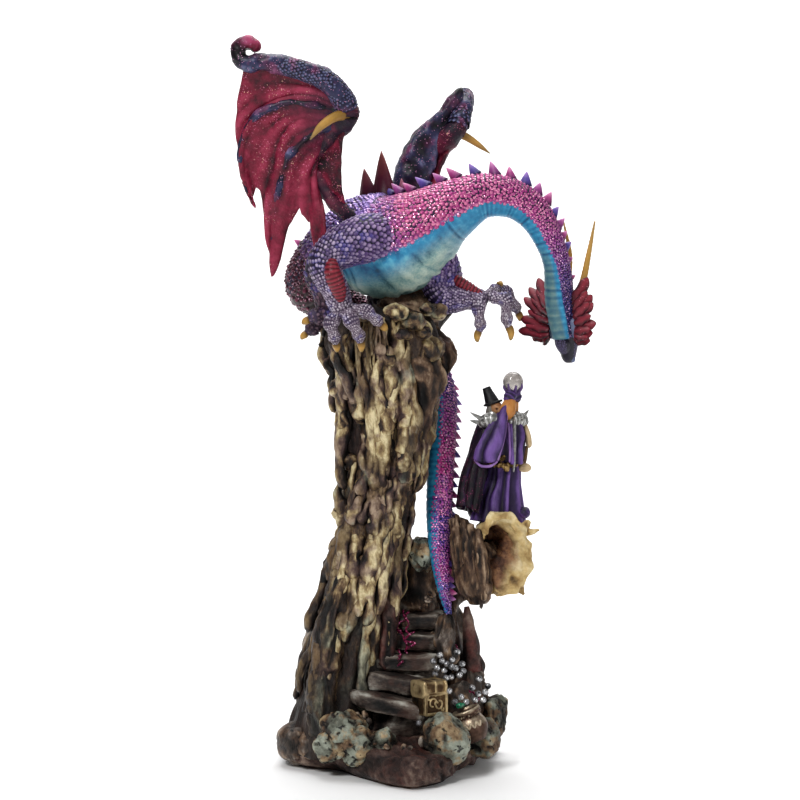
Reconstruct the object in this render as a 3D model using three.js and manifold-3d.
// A painted resin statue: a winged dragon perched on a rock pillar, its tail wound down behind the pillar,
// over a small robed wizard who stands on a hollow log and lifts a glass ball.
// Millimetres, +Z up. The origin is on the flat underside of the base. The dragon's neck reaches along +X,
// and its chest faces halfway between +X and -Y.
import * as THREE from 'three';
import { mergeVertices } from 'three/addons/utils/BufferGeometryUtils.js';
import Module from 'manifold-3d';

const wasm = await Module();
wasm.setup();

// Driving dimensions.
const BASE_FRONT = 67;
const BASE_THICKNESS = 17;
const PILLAR_TOP = 247;
const TORSO_CENTRE = [-4, -2, 287];
const TORSO_RADIUS = 28;
const WING_THICKNESS = 2.6;
const LEDGE_TOP = 131;
const LOG_WALL = 6;
const BALL_RADIUS = 5.6;
const BEAD_RADIUS = 1.6;
const BEAD_COUNT = 6;
const CASTING_GAP = 0.4;
const STEP_COUNT = 5;
const SPIKE_COUNT = 26;

// Paint colours of the plain castings.
const PAINTS = {
  dragon: { color: 0x6b3a86, roughness: 0.4, metalness: 0.35 },
  rock_pillar: { color: 0x7a6242, roughness: 0.75, metalness: 0 },
  wizard: { color: 0x54307e, roughness: 0.6, metalness: 0 },
  glass_ball: { color: 0xc9c6bd, roughness: 0.08, metalness: 0 },
};

const UP = new THREE.Vector3(0, 0, 1);

function vector([x, y, z]) {
  return new THREE.Vector3(x, y, z);
}

// A closed three.js geometry as a solid that can be joined and cut.
function solid(geometry) {
  geometry.deleteAttribute('normal');
  geometry.deleteAttribute('uv');
  const merged = mergeVertices(geometry, 1e-4);
  return new wasm.Manifold(new wasm.Mesh({
    numProp: 3,
    vertProperties: new Float32Array(merged.attributes.position.array),
    triVerts: new Uint32Array(merged.index.array),
  }));
}

function join(solids) {
  return solids.reduce((sum, next) => sum.add(next));
}

// The largest body of a solid, without the crumbs that a cut can leave.
function largest(whole) {
  return whole.decompose().sort((a, b) => b.volume() - a.volume())[0];
}

// A repeatable value from 0 to 1 for a whole number.
function scatter(number) {
  const wave = Math.sin(number * 127.1 + 11.7) * 43758.5453;
  return wave - Math.floor(wave);
}

function smoothCurve(stations) {
  return new THREE.CatmullRomCurve3(stations.map(vector), false, 'centripetal');
}

// Reads a list of values, one for each station, at a share t of the way along.
function along(values, t) {
  const place = t * (values.length - 1);
  const before = Math.min(Math.floor(place), values.length - 2);
  return THREE.MathUtils.lerp(values[before], values[before + 1], place - before);
}

// A limb: a sphere's grid of vertices carried along a smooth curve. Each station is [x, y, z, radius].
// The first and last rings are closed by fans, so a small end radius makes a point.
// Grow thickens the limb all round.
function limb(stations, sides, steps, grow = 0) {
  const curve = smoothCurve(stations);
  const radii = stations.map((station) => station[3] + grow);
  const geometry = new THREE.SphereGeometry(1, sides, steps);
  const position = geometry.attributes.position;
  const rings = [];
  let side = new THREE.Vector3(0.31, 0.83, 0.46);
  for (let ring = 0; ring <= steps; ring += 1) {
    const t = THREE.MathUtils.clamp((ring - 1) / (steps - 2), 0, 1);
    const tangent = curve.getTangent(t);
    side = side.clone().addScaledVector(tangent, -side.dot(tangent)).normalize();
    const isPole = ring === 0 || ring === steps;
    const overrun = t === 0 ? -grow : grow * Math.floor(t);
    rings.push({
      centre: curve.getPoint(t).addScaledVector(tangent, overrun),
      side,
      other: tangent.clone().cross(side),
      radius: isPole ? 0 : along(radii, t),
    });
  }
  for (let index = 0; index < position.count; index += 1) {
    const column = index % (sides + 1);
    const { centre, side: across, other, radius } = rings[Math.floor(index / (sides + 1))];
    const angle = ((column % sides) / sides) * Math.PI * 2;
    const point = centre.clone();
    point.addScaledVector(across, radius * Math.cos(angle));
    point.addScaledVector(other, radius * Math.sin(angle));
    position.setXYZ(index, point.x, point.y, point.z);
  }
  return outward(solid(geometry));
}

// Turns a solid's faces round where its grid was laid inside out.
function outward(made) {
  if (made.volume() >= 0) return made;
  const { vertProperties, triVerts } = made.getMesh();
  for (let corner = 0; corner < triVerts.length; corner += 3) {
    [triVerts[corner], triVerts[corner + 1]] = [triVerts[corner + 1], triVerts[corner]];
  }
  return new wasm.Manifold(new wasm.Mesh({ numProp: 3, vertProperties, triVerts }));
}

// A boulder: an icosahedron stretched to three half-sizes, each corner pushed in or out.
function boulder([x, y, z], [halfX, halfY, halfZ], seed, detail = 1, rough = 0.16) {
  const geometry = new THREE.IcosahedronGeometry(1, detail);
  geometry.deleteAttribute('normal');
  geometry.deleteAttribute('uv');
  const merged = mergeVertices(geometry, 1e-4);
  const position = merged.attributes.position;
  for (let index = 0; index < position.count; index += 1) {
    const swell = 1 + rough * (2 * scatter(seed * 31 + index) - 1);
    position.setXYZ(index, x + position.getX(index) * halfX * swell,
      y + position.getY(index) * halfY * swell, z + position.getZ(index) * halfZ * swell);
  }
  return solid(merged);
}

// A pointed spike of a given length, standing on a foot point along a direction.
function spike(foot, direction, length, radius, sides = 3) {
  const sunk = length * 0.25;
  const geometry = new THREE.ConeGeometry(radius, length + sunk, sides, 1);
  geometry.rotateX(Math.PI / 2);
  geometry.translate(0, 0, (length - sunk) / 2);
  geometry.applyQuaternion(new THREE.Quaternion().setFromUnitVectors(UP, direction.clone().normalize()));
  geometry.translate(foot.x, foot.y, foot.z);
  return solid(geometry);
}

// A box of a given size, turned about the vertical and set down by its centre.
function slab([x, y, z], [sizeX, sizeY, sizeZ], turnDegrees, tiltDegrees = 0) {
  const geometry = new THREE.BoxGeometry(sizeX, sizeY, sizeZ);
  geometry.rotateX(THREE.MathUtils.degToRad(tiltDegrees));
  geometry.rotateZ(THREE.MathUtils.degToRad(turnDegrees));
  geometry.translate(x, y, z);
  return solid(geometry);
}

// A thin panel stretched between two edge curves.
function panel(edgeA, edgeB, thickness, rows, columns, belly = [0, 0, 0]) {
  const geometry = new THREE.BoxGeometry(1, 1, 1, columns, rows, 1);
  const position = geometry.attributes.position;
  const curveA = smoothCurve(edgeA);
  const curveB = smoothCurve(edgeB);
  const sheet = (u, v) => {
    const point = curveA.getPoint(u).lerp(curveB.getPoint(u), v);
    return point.addScaledVector(vector(belly), Math.sin(Math.PI * v));
  };
  for (let index = 0; index < position.count; index += 1) {
    const v = position.getX(index) + 0.5;
    const u = position.getY(index) + 0.5;
    const lengthways = curveA.getTangent(u).add(curveB.getTangent(u));
    const normal = lengthways.cross(curveB.getPoint(u).sub(curveA.getPoint(u))).normalize();
    const point = sheet(u, v).addScaledVector(normal, position.getZ(index) * thickness);
    position.setXYZ(index, point.x, point.y, point.z);
  }
  return outward(solid(geometry));
}

// The dragon's left side is its right side seen in the upright plane through the torso's heading.
function mirrorPoint([x, y, ...rest]) {
  return [TORSO_CENTRE[0] - (y - TORSO_CENTRE[1]), TORSO_CENTRE[1] - (x - TORSO_CENTRE[0]), ...rest];
}

function onSide(stations, isLeft) {
  return isLeft ? stations.map(mirrorPoint) : stations;
}

// Dragon: spine from the tail's tip, round behind the pillar, through the torso and neck to the skull.
// Each station is [x, y, z, radius]; the crest list gives the direction of the back at the same stations.
const SPINE = [
  [28.5, -6, 82, 1.5], [26, -2, 95, 3.4], [24, 4, 112, 5.2], [23.5, 8, 132, 6.8], [24.3, 12, 156, 7.3],
  [25.4, 17, 180, 7.6], [25, 25, 200, 8.4], [18, 36, 216, 9.4], [-2, 45, 233, 10.5], [-27, 45, 249, 11.5],
  [-49, 34, 262, 13], [-36, 21, 278, 18], [-18, 8, 283, TORSO_RADIUS - 2], [-1, -5, 282, TORSO_RADIUS],
  [14, -16, 289, 22.5], [30, -24, 297.5, 15.5], [46, -27, 304.5, 10.4], [62, -27, 303, 8.8],
  [73, -26, 296, 8.2], [80.5, -23, 285, 7.7], [85.5, -19, 272, 7], [88.5, -15, 258, 6.5], [90, -12, 246, 6.4],
];
const CREST = [
  [1, 0.2, 0], [1, 0.2, 0], [1, 0.2, 0], [1, 0.3, 0], [1, 0.3, 0.1],
  [1, 0.5, 0.2], [0.9, 0.7, 0.3], [0.6, 0.9, 0.4], [0.1, 1, 0.6], [-0.3, 0.7, 0.9],
  [-0.4, 0.2, 1], [-0.2, 0.1, 1], [0, 0, 1], [0, 0, 1],
  [-0.1, 0, 1], [-0.1, 0, 1], [0.1, 0, 1], [0.3, 0, 1],
  [0.6, 0, 0.7], [1, 0.1, 0.5], [1, 0.3, 0.2], [1, 0.6, 0.1], [0.8, 0.8, 0],
];

function crestAt(t) {
  const tangent = smoothCurve(SPINE).getTangent(t);
  const hint = smoothCurve(CREST).getPoint(t);
  return hint.addScaledVector(tangent, -hint.dot(tangent)).normalize();
}

// The row of back spikes, tallest over the shoulders.
function crestSpikes(grow) {
  const curve = smoothCurve(SPINE);
  const radii = SPINE.map((station) => station[3]);
  const spikes = [];
  for (let index = 0; index < SPIKE_COUNT; index += 1) {
    const t = 0.08 + (0.86 * index) / SPIKE_COUNT;
    const overShoulders = Math.exp(-(((t - 0.57) / 0.022) ** 2));
    const length = 4.6 + (index % 2) + 15 * overShoulders;
    const back = crestAt(t);
    const lean = curve.getTangent(t).multiplyScalar(-0.35);
    const foot = curve.getPoint(t).addScaledVector(back, along(radii, t) * 0.95);
    spikes.push(spike(foot, back.add(lean), length + 3 * grow, 1.9 + length * 0.1 + grow));
  }
  return spikes;
}

// Foreleg on the dragon's right: elbow out to the side, hand closed on the pillar's rim.
const RIGHT_ARM = [
  [4, -22, 287, 13], [-18, -33, 281, 11], [-37, -37, 269, 8.5], [-31, -35, 254, 6.8], [-28, -33, 243, 6.2],
];
const RIGHT_FINGERS = [
  [[-29, -34, 245, 4], [-34, -38, 238, 3.8], [-32, -37, 230, 3], [-31, -34, 223, 1]],
  [[-27, -35, 245, 4], [-23, -41, 239, 3.8], [-19, -40, 231, 3], [-18, -37, 223, 1]],
  [[-25, -33, 246, 4], [-15, -38, 244, 3.6], [-9, -38, 239, 2.8], [-5, -36, 234, 1]],
];

// Foreleg on the dragon's left: held out over the drop, its claws hanging.
const LEFT_ARM = [
  [16, -6, 281, 13], [24, -2, 266, 12], [27, -3, 255, 10], [40, -5, 253.5, 6.5], [50, -6, 251, 5.5],
];
const LEFT_FINGERS = [
  [[46, -8, 252, 4], [44.5, -11, 247, 3.4], [45.5, -11, 238, 3], [44, -10, 229, 1]],
  [[51, -7, 254, 4.4], [59, -9, 252, 3.6], [60, -9, 241, 3], [62, -8, 230, 1]],
  [[51, -4, 255, 4.2], [60, 2, 257, 3.4], [66, 5, 248, 2.8], [68, 6, 241, 1]],
  [[48, -4, 253, 3.8], [55, -3, 259, 3], [57, -2, 263, 1.4]],
];

// Hind legs: folded haunches, with the toes spread over the rim of the pillar.
const HIND_LEG = [[-22, 6, 283, 14], [-38, 0, 268, 12], [-37, 2, 255, 8], [-38, 2, 244, 6.5]];
const HIND_TOES = [
  [[-37, -2, 245, 4.5], [-45, -5, 243, 3.8], [-51, -5, 239, 2]],
  [[-38, 3, 243, 4.5], [-47, 4, 236, 3.6], [-52, 4, 231, 1.8]],
  [[-37, 8, 243, 4.5], [-44, 14, 240, 3.6], [-49, 17, 234, 1.8]],
];

function dragonLimbs(grow) {
  const limbs = [
    limb(SPINE, 9, 38, grow),
    limb(RIGHT_ARM, 6, 7, grow),
    limb(LEFT_ARM, 6, 7, grow),
  ];
  for (const finger of [...RIGHT_FINGERS, ...LEFT_FINGERS]) limbs.push(limb(finger, 4, 5, grow));
  for (const isLeft of [false, true]) {
    limbs.push(limb(onSide(HIND_LEG, isLeft), 6, 5, grow));
    for (const toe of HIND_TOES) limbs.push(limb(onSide(toe, isLeft), 4, 4, grow));
  }
  return join(limbs);
}

// Head: it hangs from the neck with the snout down, the brow towards +X and +Y.
const HEAD_TOP = [89, -11, 238];
const SKULL = [
  [88.5, -13, 250, 6], [90.5, -10.5, 240, 8], [92.3, -7.5, 232, 6.8], [93.4, -5, 224, 4.6],
  [93.6, -3, 218, 2.8],
];
const JAW = [[86.5, -15, 242, 4], [89, -12.5, 231, 4.2], [91.5, -9, 223, 2.6]];
const HORN_RIGHT = [[95, -14, 245, 2.6], [100, -15, 260, 2], [104, -15, 278, 1.4], [107.5, -15, 294, 0.6]];
const FRILL_LOBES = 5;
const FRILL_LENGTH = 19;

function mirrorOnHead([x, y, ...rest]) {
  const [headX, headY] = HEAD_TOP;
  return [headX + (y - headY), headY + (x - headX), ...rest];
}

// A cheek frill: a fan of rounded lobes from the jaw to the crown, thick along each lobe.
function frill(isLeft) {
  const geometry = new THREE.BoxGeometry(1, 1, 1, 2 * FRILL_LOBES, 2, 1);
  const position = geometry.attributes.position;
  for (let index = 0; index < position.count; index += 1) {
    const share = position.getX(index) + 0.5;
    const reach = position.getY(index) + 0.5;
    const ridge = Math.abs(Math.sin(Math.PI * FRILL_LOBES * share));
    const angle = THREE.MathUtils.degToRad(-32 + 125 * share);
    const length = 2 + reach * FRILL_LENGTH * (0.62 + 0.38 * ridge) * (0.85 + 0.3 * share);
    const out = length * Math.cos(angle);
    const depth = position.getZ(index) * (1.4 + 1.4 * ridge);
    const x = 91 + 0.82 * out + 0.5 * depth;
    const y = -14 - 0.55 * out + 0.8 * depth;
    const place = [x, y, 242 + length * Math.sin(angle)];
    position.setXYZ(index, ...(isLeft ? mirrorOnHead(place) : place));
  }
  return outward(solid(geometry));
}

function head() {
  const pieces = [limb(SKULL, 7, 6), limb(JAW, 4, 4), frill(false), frill(true)];
  pieces.push(limb(HORN_RIGHT, 4, 5), limb(HORN_RIGHT.map(mirrorOnHead), 4, 5));
  return join(pieces);
}

// Wing on the dragon's right, raised and swept back. Bones run from the shoulder by the elbow to the wrist,
// and three fingers spread the skin, the first ending in a curled tip.
const SHOULDER = [-26, -18, 297];
const ELBOW = [-45.5, -14, 326];
const WRIST = [-24.5, -39, 348];
const TIP_CURL = { x: -77, y: -44, radius: 6.2, turns: 0.78 };
const FINGER_ONE = [[-26, -41, 352], [-34, -43, 363], [-50, -45, 370], [-68, -45, 373.5], [-79, -44, 374]];
const FINGER_TWO = [
  [-28, -39, 349], [-53, -39, 354], [-73, -34, 348], [-82, -26, 334], [-82, -18, 317], [-77, -12, 303],
];
const FINGER_THREE = [
  [-28, -37, 345], [-46.5, -33, 336], [-58, -26, 325], [-63, -18, 309], [-66, -8, 290], [-67.5, -2, 265],
];
const BODY_EDGE = [[-44, -16, 328], [-42, -18, 313], [-38, -21, 300], [-37, -24, 287], [-39, -24, 261]];
const FINGERS = [FINGER_ONE, FINGER_TWO, FINGER_THREE, BODY_EDGE];
const SCALLOPS = [0, 0.2, 0.36];
const SKIN_SWELLS = [[-7, 3, 0], [0, 5, 0], [0, 5, 0]];
const RIB_SHARES = [0, 0.12, 0.5, 0.88];
const RIB_THICKNESS = 5;

// The wing's skin: one sheet through the finger curves, thick along each finger, hollowed between them,
// and scalloped along its free edge.
function wingSkin(isLeft) {
  const curves = FINGERS.map((stations) => smoothCurve(onSide(stations, isLeft)));
  const spans = curves.length - 1;
  const columns = spans * RIB_SHARES.length;
  const geometry = new THREE.BoxGeometry(1, 1, 1, columns, 6, 1);
  const position = geometry.attributes.position;
  const swells = SKIN_SWELLS.map(([x, y, z]) => (isLeft ? vector([-y, -x, z]) : vector([x, y, z])));
  const sheet = (u, place) => {
    const span = Math.min(Math.floor(place), spans - 1);
    const share = place - span;
    const hollow = Math.sin(Math.PI * share);
    const reach = u * (1 - SCALLOPS[span] * hollow);
    const point = curves[span].getPoint(reach).lerp(curves[span + 1].getPoint(reach), share);
    return point.addScaledVector(swells[span], hollow * u);
  };
  for (let index = 0; index < position.count; index += 1) {
    const column = Math.round((position.getX(index) + 0.5) * columns);
    const knot = column % RIB_SHARES.length;
    const place = Math.floor(column / RIB_SHARES.length) + RIB_SHARES[knot];
    const u = position.getY(index) + 0.5;
    const step = 0.03;
    const lengthways = sheet(Math.min(1, u + step), place).sub(sheet(Math.max(0, u - step), place));
    const sideways = sheet(u, Math.min(spans, place + step)).sub(sheet(u, Math.max(0, place - step)));
    const normal = lengthways.cross(sideways).normalize();
    const thickness = knot === 0 ? RIB_THICKNESS * (1 - 0.5 * u) : WING_THICKNESS;
    const point = sheet(u, place).addScaledVector(normal, position.getZ(index) * thickness);
    position.setXYZ(index, point.x, point.y, point.z);
  }
  return outward(solid(geometry));
}

// The first finger and its curled tip. The right tip curls up and over, the left one down and under.
function curledFinger(isLeft) {
  const stations = FINGER_ONE.slice(0, 4);
  const rise = isLeft ? -1 : 1;
  const [, , fingerEnd] = FINGER_ONE[4];
  for (let index = 0; index <= 6; index += 1) {
    const angle = -Math.PI / 2 - (index / 6) * TIP_CURL.turns * Math.PI * 2;
    const radius = TIP_CURL.radius * (1 - 0.06 * index);
    const height = TIP_CURL.radius + radius * Math.sin(angle);
    stations.push([TIP_CURL.x + radius * Math.cos(angle), TIP_CURL.y, fingerEnd + rise * height]);
  }
  return stations.map((station, index) => [...station, 5.4 - 0.3 * index]);
}

function wing(isLeft) {
  const upperArm = [[-13, -12, 291, 7], [...SHOULDER, 6.5], [-38, -16, 311, 7], [...ELBOW, 7]];
  const forearm = [[...ELBOW, 7.5], [-35, -28, 338, 8], [...WRIST, 6.5], [-26, -41, 353, 4]];
  const thumb = [[...WRIST, 3.6], [-32, -46, 345, 2.8], [-39, -52, 339, 2.2], [-44, -56, 332, 0.8]];
  const frontEdge = [WRIST, [-28, -33, 330], [-28, -23, 308], SHOULDER];
  const elbowEdge = [[-27, -37, 345], [-40, -22, 332], [-40, -18, 316], [-30, -18, 300]];
  return join([
    limb(onSide(upperArm, isLeft), 5, 5),
    limb(onSide(forearm, isLeft), 5, 5),
    limb(onSide(curledFinger(isLeft), isLeft), 4, 10),
    limb(onSide(thumb, isLeft), 4, 5),
    wingSkin(isLeft),
    panel(onSide(frontEdge, isLeft), onSide(elbowEdge, isLeft), WING_THICKNESS, 3, 1),
  ]);
}

// Rock pillar: stations of the trunk's axis, [x, y, z, half-width, half-depth].
const TRUNK = [
  [-32, 2, 8, 30, 34], [-31, 2, 34, 23, 27], [-26, 3, 66, 21, 24], [-19, 4, 92, 20, 23],
  [-13, 5, 121, 18.5, 22], [-10, 5, 143, 18.5, 22], [-7, 5, 160, 21, 24], [-5, 5, 187, 24.5, 27],
  [-6, 5, 210, 28, 30], [-8, 5, 228, 31, 32], [-8, 5, PILLAR_TOP - 6, 29, 31], [-8, 5, PILLAR_TOP, 24, 26],
];
const TRUNK_FLUTES = 9;

// The trunk: a cylinder's grid set to the stations, with flutes of dripping stone that wander as they rise.
function trunk() {
  const sides = 20;
  const rows = 10;
  const geometry = new THREE.CylinderGeometry(1, 1, 1, sides, rows);
  const position = geometry.attributes.position;
  const columns = [0, 1, 2, 3, 4].map((column) => TRUNK.map((station) => station[column]));
  for (let index = 0; index < position.count; index += 1) {
    const t = position.getY(index) + 0.5;
    const reach = Math.hypot(position.getX(index), position.getZ(index));
    const angle = Math.atan2(position.getX(index), position.getZ(index));
    const [x, y, z, halfX, halfY] = columns.map((column) => along(column, t));
    const wander = 1.6 * Math.sin(6 * t) + Math.sin(2 * angle);
    const drip = 0.09 * Math.sin(TRUNK_FLUTES * angle + wander) + 0.06 * Math.sin(19 * t + 3 * angle);
    const flute = reach * (1 + drip);
    position.setXYZ(index, x + flute * halfX * Math.cos(angle), y + flute * halfY * Math.sin(angle), z);
  }
  return outward(solid(geometry));
}

// The broken bough on the trunk's right, whose end hangs down free, and the knots above it.
function bough() {
  return [
    limb([[2, -12, 228, 9], [14, -12, 212, 10], [17, -10, 190, 8], [16, -8, 168, 6], [11, -6, 146, 2]], 6, 6),
    limb([[0, 2, 232, 12], [18, 2, 230, 9], [27, 0, 222, 6], [28, 0, 212, 2.5]], 6, 6),
    limb([[6, 8, 238, 10], [22, 10, 244, 7], [31, 10, 250, 3]], 5, 5),
    limb([[-26, -12, 236, 8], [-30, -16, 214, 7], [-30, -14, 190, 5], [-27, -12, 168, 2]], 5, 6),
    limb([[-6, -24, 238, 8], [-4, -25, 214, 6], [-6, -22, 188, 4], [-8, -18, 166, 2]], 5, 6),
    boulder([-12, -25, 239], [12, 8, 7], 13, 0),
  ];
}

// Roots on the left and back of the foot.
function roots() {
  return [
    limb([[-32, 18, 108, 3], [-36, 20, 84, 7], [-43, 21, 62, 7], [-47, 19, 40, 7], [-50, 16, 10, 9]], 5, 7),
    limb([[-28, -16, 104, 4], [-36, -18, 70, 7], [-40, -22, 44, 7], [-36, -26, 16, 8]], 5, 6),
    limb([[-16, 26, 124, 4], [-10, 32, 70, 11], [-6, 36, 34, 12], [0, 40, 10, 12]], 6, 6),
  ];
}

// The base: a low mound whose outline has a front lobe, undercut most at its sides and back.
const BASE_OUTLINE = [
  [-66, 6, 0], [-56, -14, 0], [-36, -24, 0], [-16, -48, 0], [8, -BASE_FRONT, 0], [25, -54, 0],
  [34, -28, 0], [54, 10, 0], [58, 36, 0], [28, 53, 0], [-14, 54, 0], [-52, 38, 0],
];

function baseSlab() {
  const outline = new THREE.CatmullRomCurve3(BASE_OUTLINE.map(vector), true, 'centripetal');
  const sides = 24;
  const geometry = new THREE.CylinderGeometry(1, 1, 1, sides, 3);
  const position = geometry.attributes.position;
  for (let index = 0; index < position.count; index += 1) {
    const t = position.getY(index) + 0.5;
    const reach = Math.hypot(position.getX(index), position.getZ(index));
    const turn = Math.atan2(position.getX(index), position.getZ(index)) / (2 * Math.PI);
    const edge = outline.getPoint(((turn % 1) + 1) % 1);
    const undercut = 0.8 + 0.16 * Math.max(0, -edge.y / BASE_FRONT);
    const swell = reach * along([undercut, 1, 0.96, 0.84], t);
    position.setXYZ(index, swell * edge.x, swell * edge.y, t * BASE_THICKNESS);
  }
  return outward(solid(geometry));
}

// Steps that climb from the front, between the trunk and the broken wall, on a ramp of rubble.
function steps() {
  const ramp = [[-6, -16, 12, 15], [4, -6, 30, 16], [12, 6, 48, 15], [17, 19, 66, 13], [20, 24, 80, 9]];
  const made = [limb(ramp, 7, 6)];
  for (let index = 0; index < STEP_COUNT; index += 1) {
    const width = 42 - 5 * index;
    const place = [-3 + 4.4 * index, -22 + 8 * index, 36 + 10.2 * index];
    made.push(slab(place, [width, 20, 8.5], -14 + 3 * index, -3));
  }
  return made;
}

// The broken wall behind the tail, its red splinter, and the arm that carries the hollow log.
function wall() {
  return [
    limb([[32, 26, 12, 17], [32, 26, 40, 14], [31, 25, 72, 13], [33, 22, 100, 13], [38, 16, 118, 11]], 6, 6),
    limb([[30, 24, 98, 11], [42, 14, 104, 15], [50, 6, 106, 15], [56, 0, 106, 12]], 6, 5),
    spike(new THREE.Vector3(42, 14, 50), new THREE.Vector3(0.02, -0.1, 1), 33, 6, 5),
    limb([[30, 14, 14, 12], [38, 6, 34, 10], [40, 2, 52, 6]], 6, 5),
    limb([[6, 26, 40, 14], [8, 24, 76, 14], [11, 21, 100, 12], [14, 18, 122, 5]], 6, 5),
    boulder([15, 9, 113], [5, 5, 9], 9, 0),
  ];
}

// The hollow log: a short broken tube whose open end faces the front, cut out by a smaller tube.
const LOG = { x: 58, z: 114, front: -14, back: 14, halfWidth: 15, halfHeight: 21.5 };

function hollowLog() {
  const rim = 14;
  const build = (inset, front, back) => {
    const geometry = new THREE.CylinderGeometry(1, 1, 1, rim, 1);
    const position = geometry.attributes.position;
    for (let index = 0; index < position.count; index += 1) {
      const t = position.getY(index) + 0.5;
      const reach = Math.hypot(position.getX(index), position.getZ(index));
      const angle = Math.atan2(position.getX(index), position.getZ(index));
      const ragged = 1 + 0.07 * Math.sin(5 * angle + 1) + 0.05 * Math.sin(9 * angle);
      const taper = 1 - 0.18 * t;
      const x = LOG.x + reach * (LOG.halfWidth - inset) * ragged * taper * Math.cos(angle) - 8 * t;
      const z = LOG.z + reach * (LOG.halfHeight - inset) * ragged * taper * Math.sin(angle);
      position.setXYZ(index, x, THREE.MathUtils.lerp(front, back, t) + 3 * Math.sin(3 * angle) * (1 - t), z);
    }
    return outward(solid(geometry));
  };
  return build(0, LOG.front, LOG.back).subtract(build(LOG_WALL, LOG.front - 8, LOG.back - 7));
}

// Treasure at the foot of the steps: a chest, a rimmed pot and loose beads, on a heap.
function treasure() {
  const chest = slab([22, -31, 33], [12, 13, 13], 18);
  const lid = new THREE.CylinderGeometry(6.5, 6.5, 12.6, 8);
  lid.rotateZ(Math.PI / 2);
  lid.rotateZ(THREE.MathUtils.degToRad(18));
  lid.translate(22, -31, 39);
  const outline = [[0, -8], [5, -8], [8, -2], [5.5, 6], [7.4, 7], [7.2, 9.5], [0, 9.5]];
  const profile = outline.map(([radius, height]) => new THREE.Vector2(radius, height));
  const pot = new THREE.LatheGeometry(profile, 8);
  pot.rotateX(Math.PI / 2 + 0.16);
  pot.translate(40, -26, 26);
  const made = [chest, solid(lid), outward(solid(pot))];
  made.push(limb([[26, -16, 14, 14], [33, -12, 34, 10], [38, -8, 46, 4]], 6, 5));
  for (let index = 0; index < BEAD_COUNT; index += 1) {
    const angle = -2.6 + 0.36 * index;
    const bead = new THREE.OctahedronGeometry(BEAD_RADIUS * 1.2);
    bead.translate(33 + 9.4 * Math.cos(angle), -12 + 9.4 * Math.sin(angle), 34 + 2 * (index % 2));
    made.push(solid(bead));
  }
  return made;
}

function rubble() {
  return [
    boulder([-26, -38, 24], [14, 11, 13], 1),
    boulder([24, -45, 20], [13, 10, 13], 2),
    boulder([53, 6, 24], [9, 11, 14], 5, 0),
    boulder([47, -14, 16], [10, 10, 11], 6, 0),
    boulder([-52, 8, 15], [12, 18, 12], 7, 0),
    boulder([10, 42, 18], [18, 10, 12], 8, 0),
  ];
}

// Wizard: robe from hem to collar, cape behind, both arms lifted under the ball.
const ROBE = [
  [56, 8, LEDGE_TOP, 14.5], [57, 8, 143, 12], [59, 8, 160, 9], [58, 8, 175, 10], [57, 8, 185, 7],
  [56, 8, 190, 3.5],
];
const HEAD = [55.5, 6.5, 194];
const BALL = [64, 3.5, 208];
const CAPE_NEAR = [[50, 3, 186], [45, 0, 172], [40, -1, 156], [38, 0, 140]];
const CAPE_FAR = [[50, 15, 187], [42, 17, 172], [37, 16, 156], [36, 14, 140]];

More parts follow.
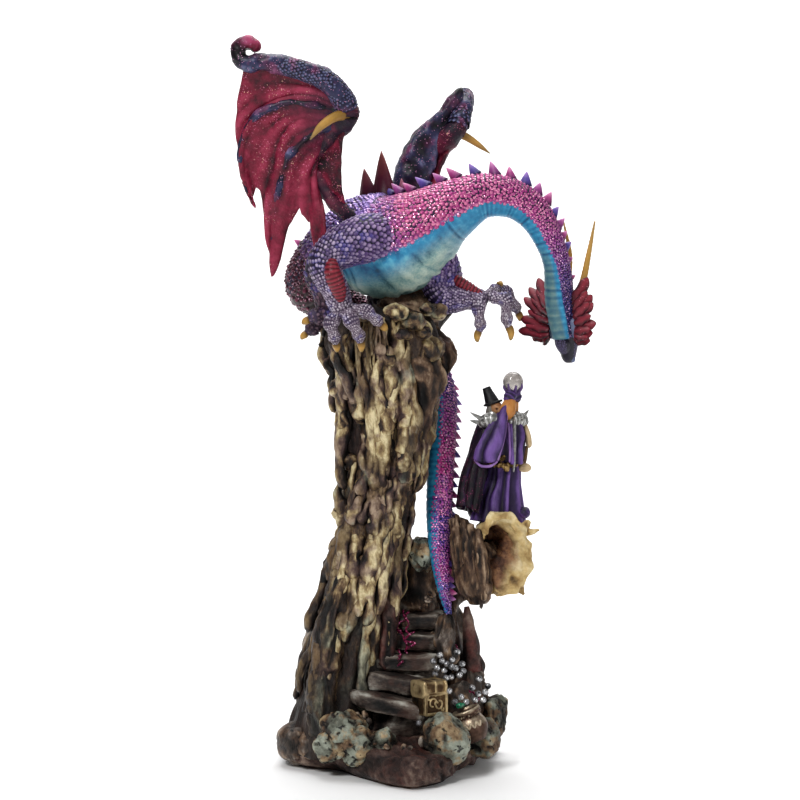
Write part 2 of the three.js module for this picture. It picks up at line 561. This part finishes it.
function wizard(grow) {
  const [headX, headY, headZ] = HEAD;
  const skull = [[headX, headY, headZ - 6, 3.5], [...HEAD, 4.8], [headX - 1.2, headY + 0.6, headZ + 4, 4.2]];
  return join([
    limb(ROBE, 10, 7, grow),
    limb(skull, 6, 4, grow),
    limb([[54, 7, 196, 6], [52, 8, 199, 4.6], [48.5, 9, 205, 3], [47, 9.5, 207, 2]], 6, 5, grow),
    limb([[57, 1, 183, 4.5], [60, -1, 190, 6], [62.5, 1.5, 197, 4], [63, 2.5, 201, 3]], 5, 5, grow),
    limb([[62, 13, 183, 4], [64, 10, 191, 5], [65, 6, 198, 3.6], [65, 5, 201, 3]], 5, 5, grow),
    limb([[46, 1, 184, 3.5], [52, 0, 185, 5.5], [58, -1, 183, 4]], 5, 4, grow),
    limb([[62, 15, 183, 4], [68, 12, 184, 5.5], [73, 9, 187, 2]], 5, 4, grow),
    panel(CAPE_NEAR, CAPE_FAR, 3.4 + 2 * grow, 3, 2, [-4, 0, 0]),
    limb([[52, 8, 188, 6], [47, 9, 170, 7], [45, 9, 150, 7], [46, 9, 134, 6]], 6, 5, grow),
    limb([[65, 3, 184, 2.4], [64.5, 0, 172, 2.4], [64, -0.5, 156, 2.2]], 4, 4, grow),
    limb([[72, 9, 184, 2.4], [73, 7, 170, 2.6], [68, 6, 160, 3.4]], 4, 4, grow),
  ]);
}

function ball(radius) {
  const geometry = new THREE.SphereGeometry(radius, 12, 8);
  geometry.translate(...BALL);
  return solid(geometry);
}

function meshOf(name, made) {
  const { vertProperties, triVerts } = made.getMesh();
  const geometry = new THREE.BufferGeometry();
  geometry.setAttribute('position', new THREE.BufferAttribute(vertProperties, 3));
  geometry.setIndex(new THREE.BufferAttribute(triVerts, 1));
  geometry.computeVertexNormals();
  const mesh = new THREE.Mesh(geometry, new THREE.MeshStandardMaterial(PAINTS[name]));
  mesh.name = name;
  return mesh;
}

// The castings: the dragon is whole, and the others are cut back from what they touch by the gap.
const dragon = largest(join([dragonLimbs(0), ...crestSpikes(0), head(), wing(false), wing(true)]));
const dragonSeat = join([dragonLimbs(CASTING_GAP), ...crestSpikes(CASTING_GAP)]);
const floorCut = slab([0, 0, -50], [300, 300, 100], 0);
const figure = largest(wizard(0).subtract(ball(BALL_RADIUS + CASTING_GAP)).subtract(dragonSeat));
const ground = [baseSlab(), trunk(), ...bough(), ...roots(), ...steps(), ...wall(), hollowLog()];
const rough = join([...ground, ...treasure(), ...rubble()]);
const rock = largest(rough.subtract(floorCut).subtract(dragonSeat).subtract(wizard(CASTING_GAP)));

const statue = new THREE.Group();
statue.add(meshOf('dragon', dragon));
statue.add(meshOf('rock_pillar', rock));
statue.add(meshOf('wizard', figure));
statue.add(meshOf('glass_ball', ball(BALL_RADIUS)));

export default statue;
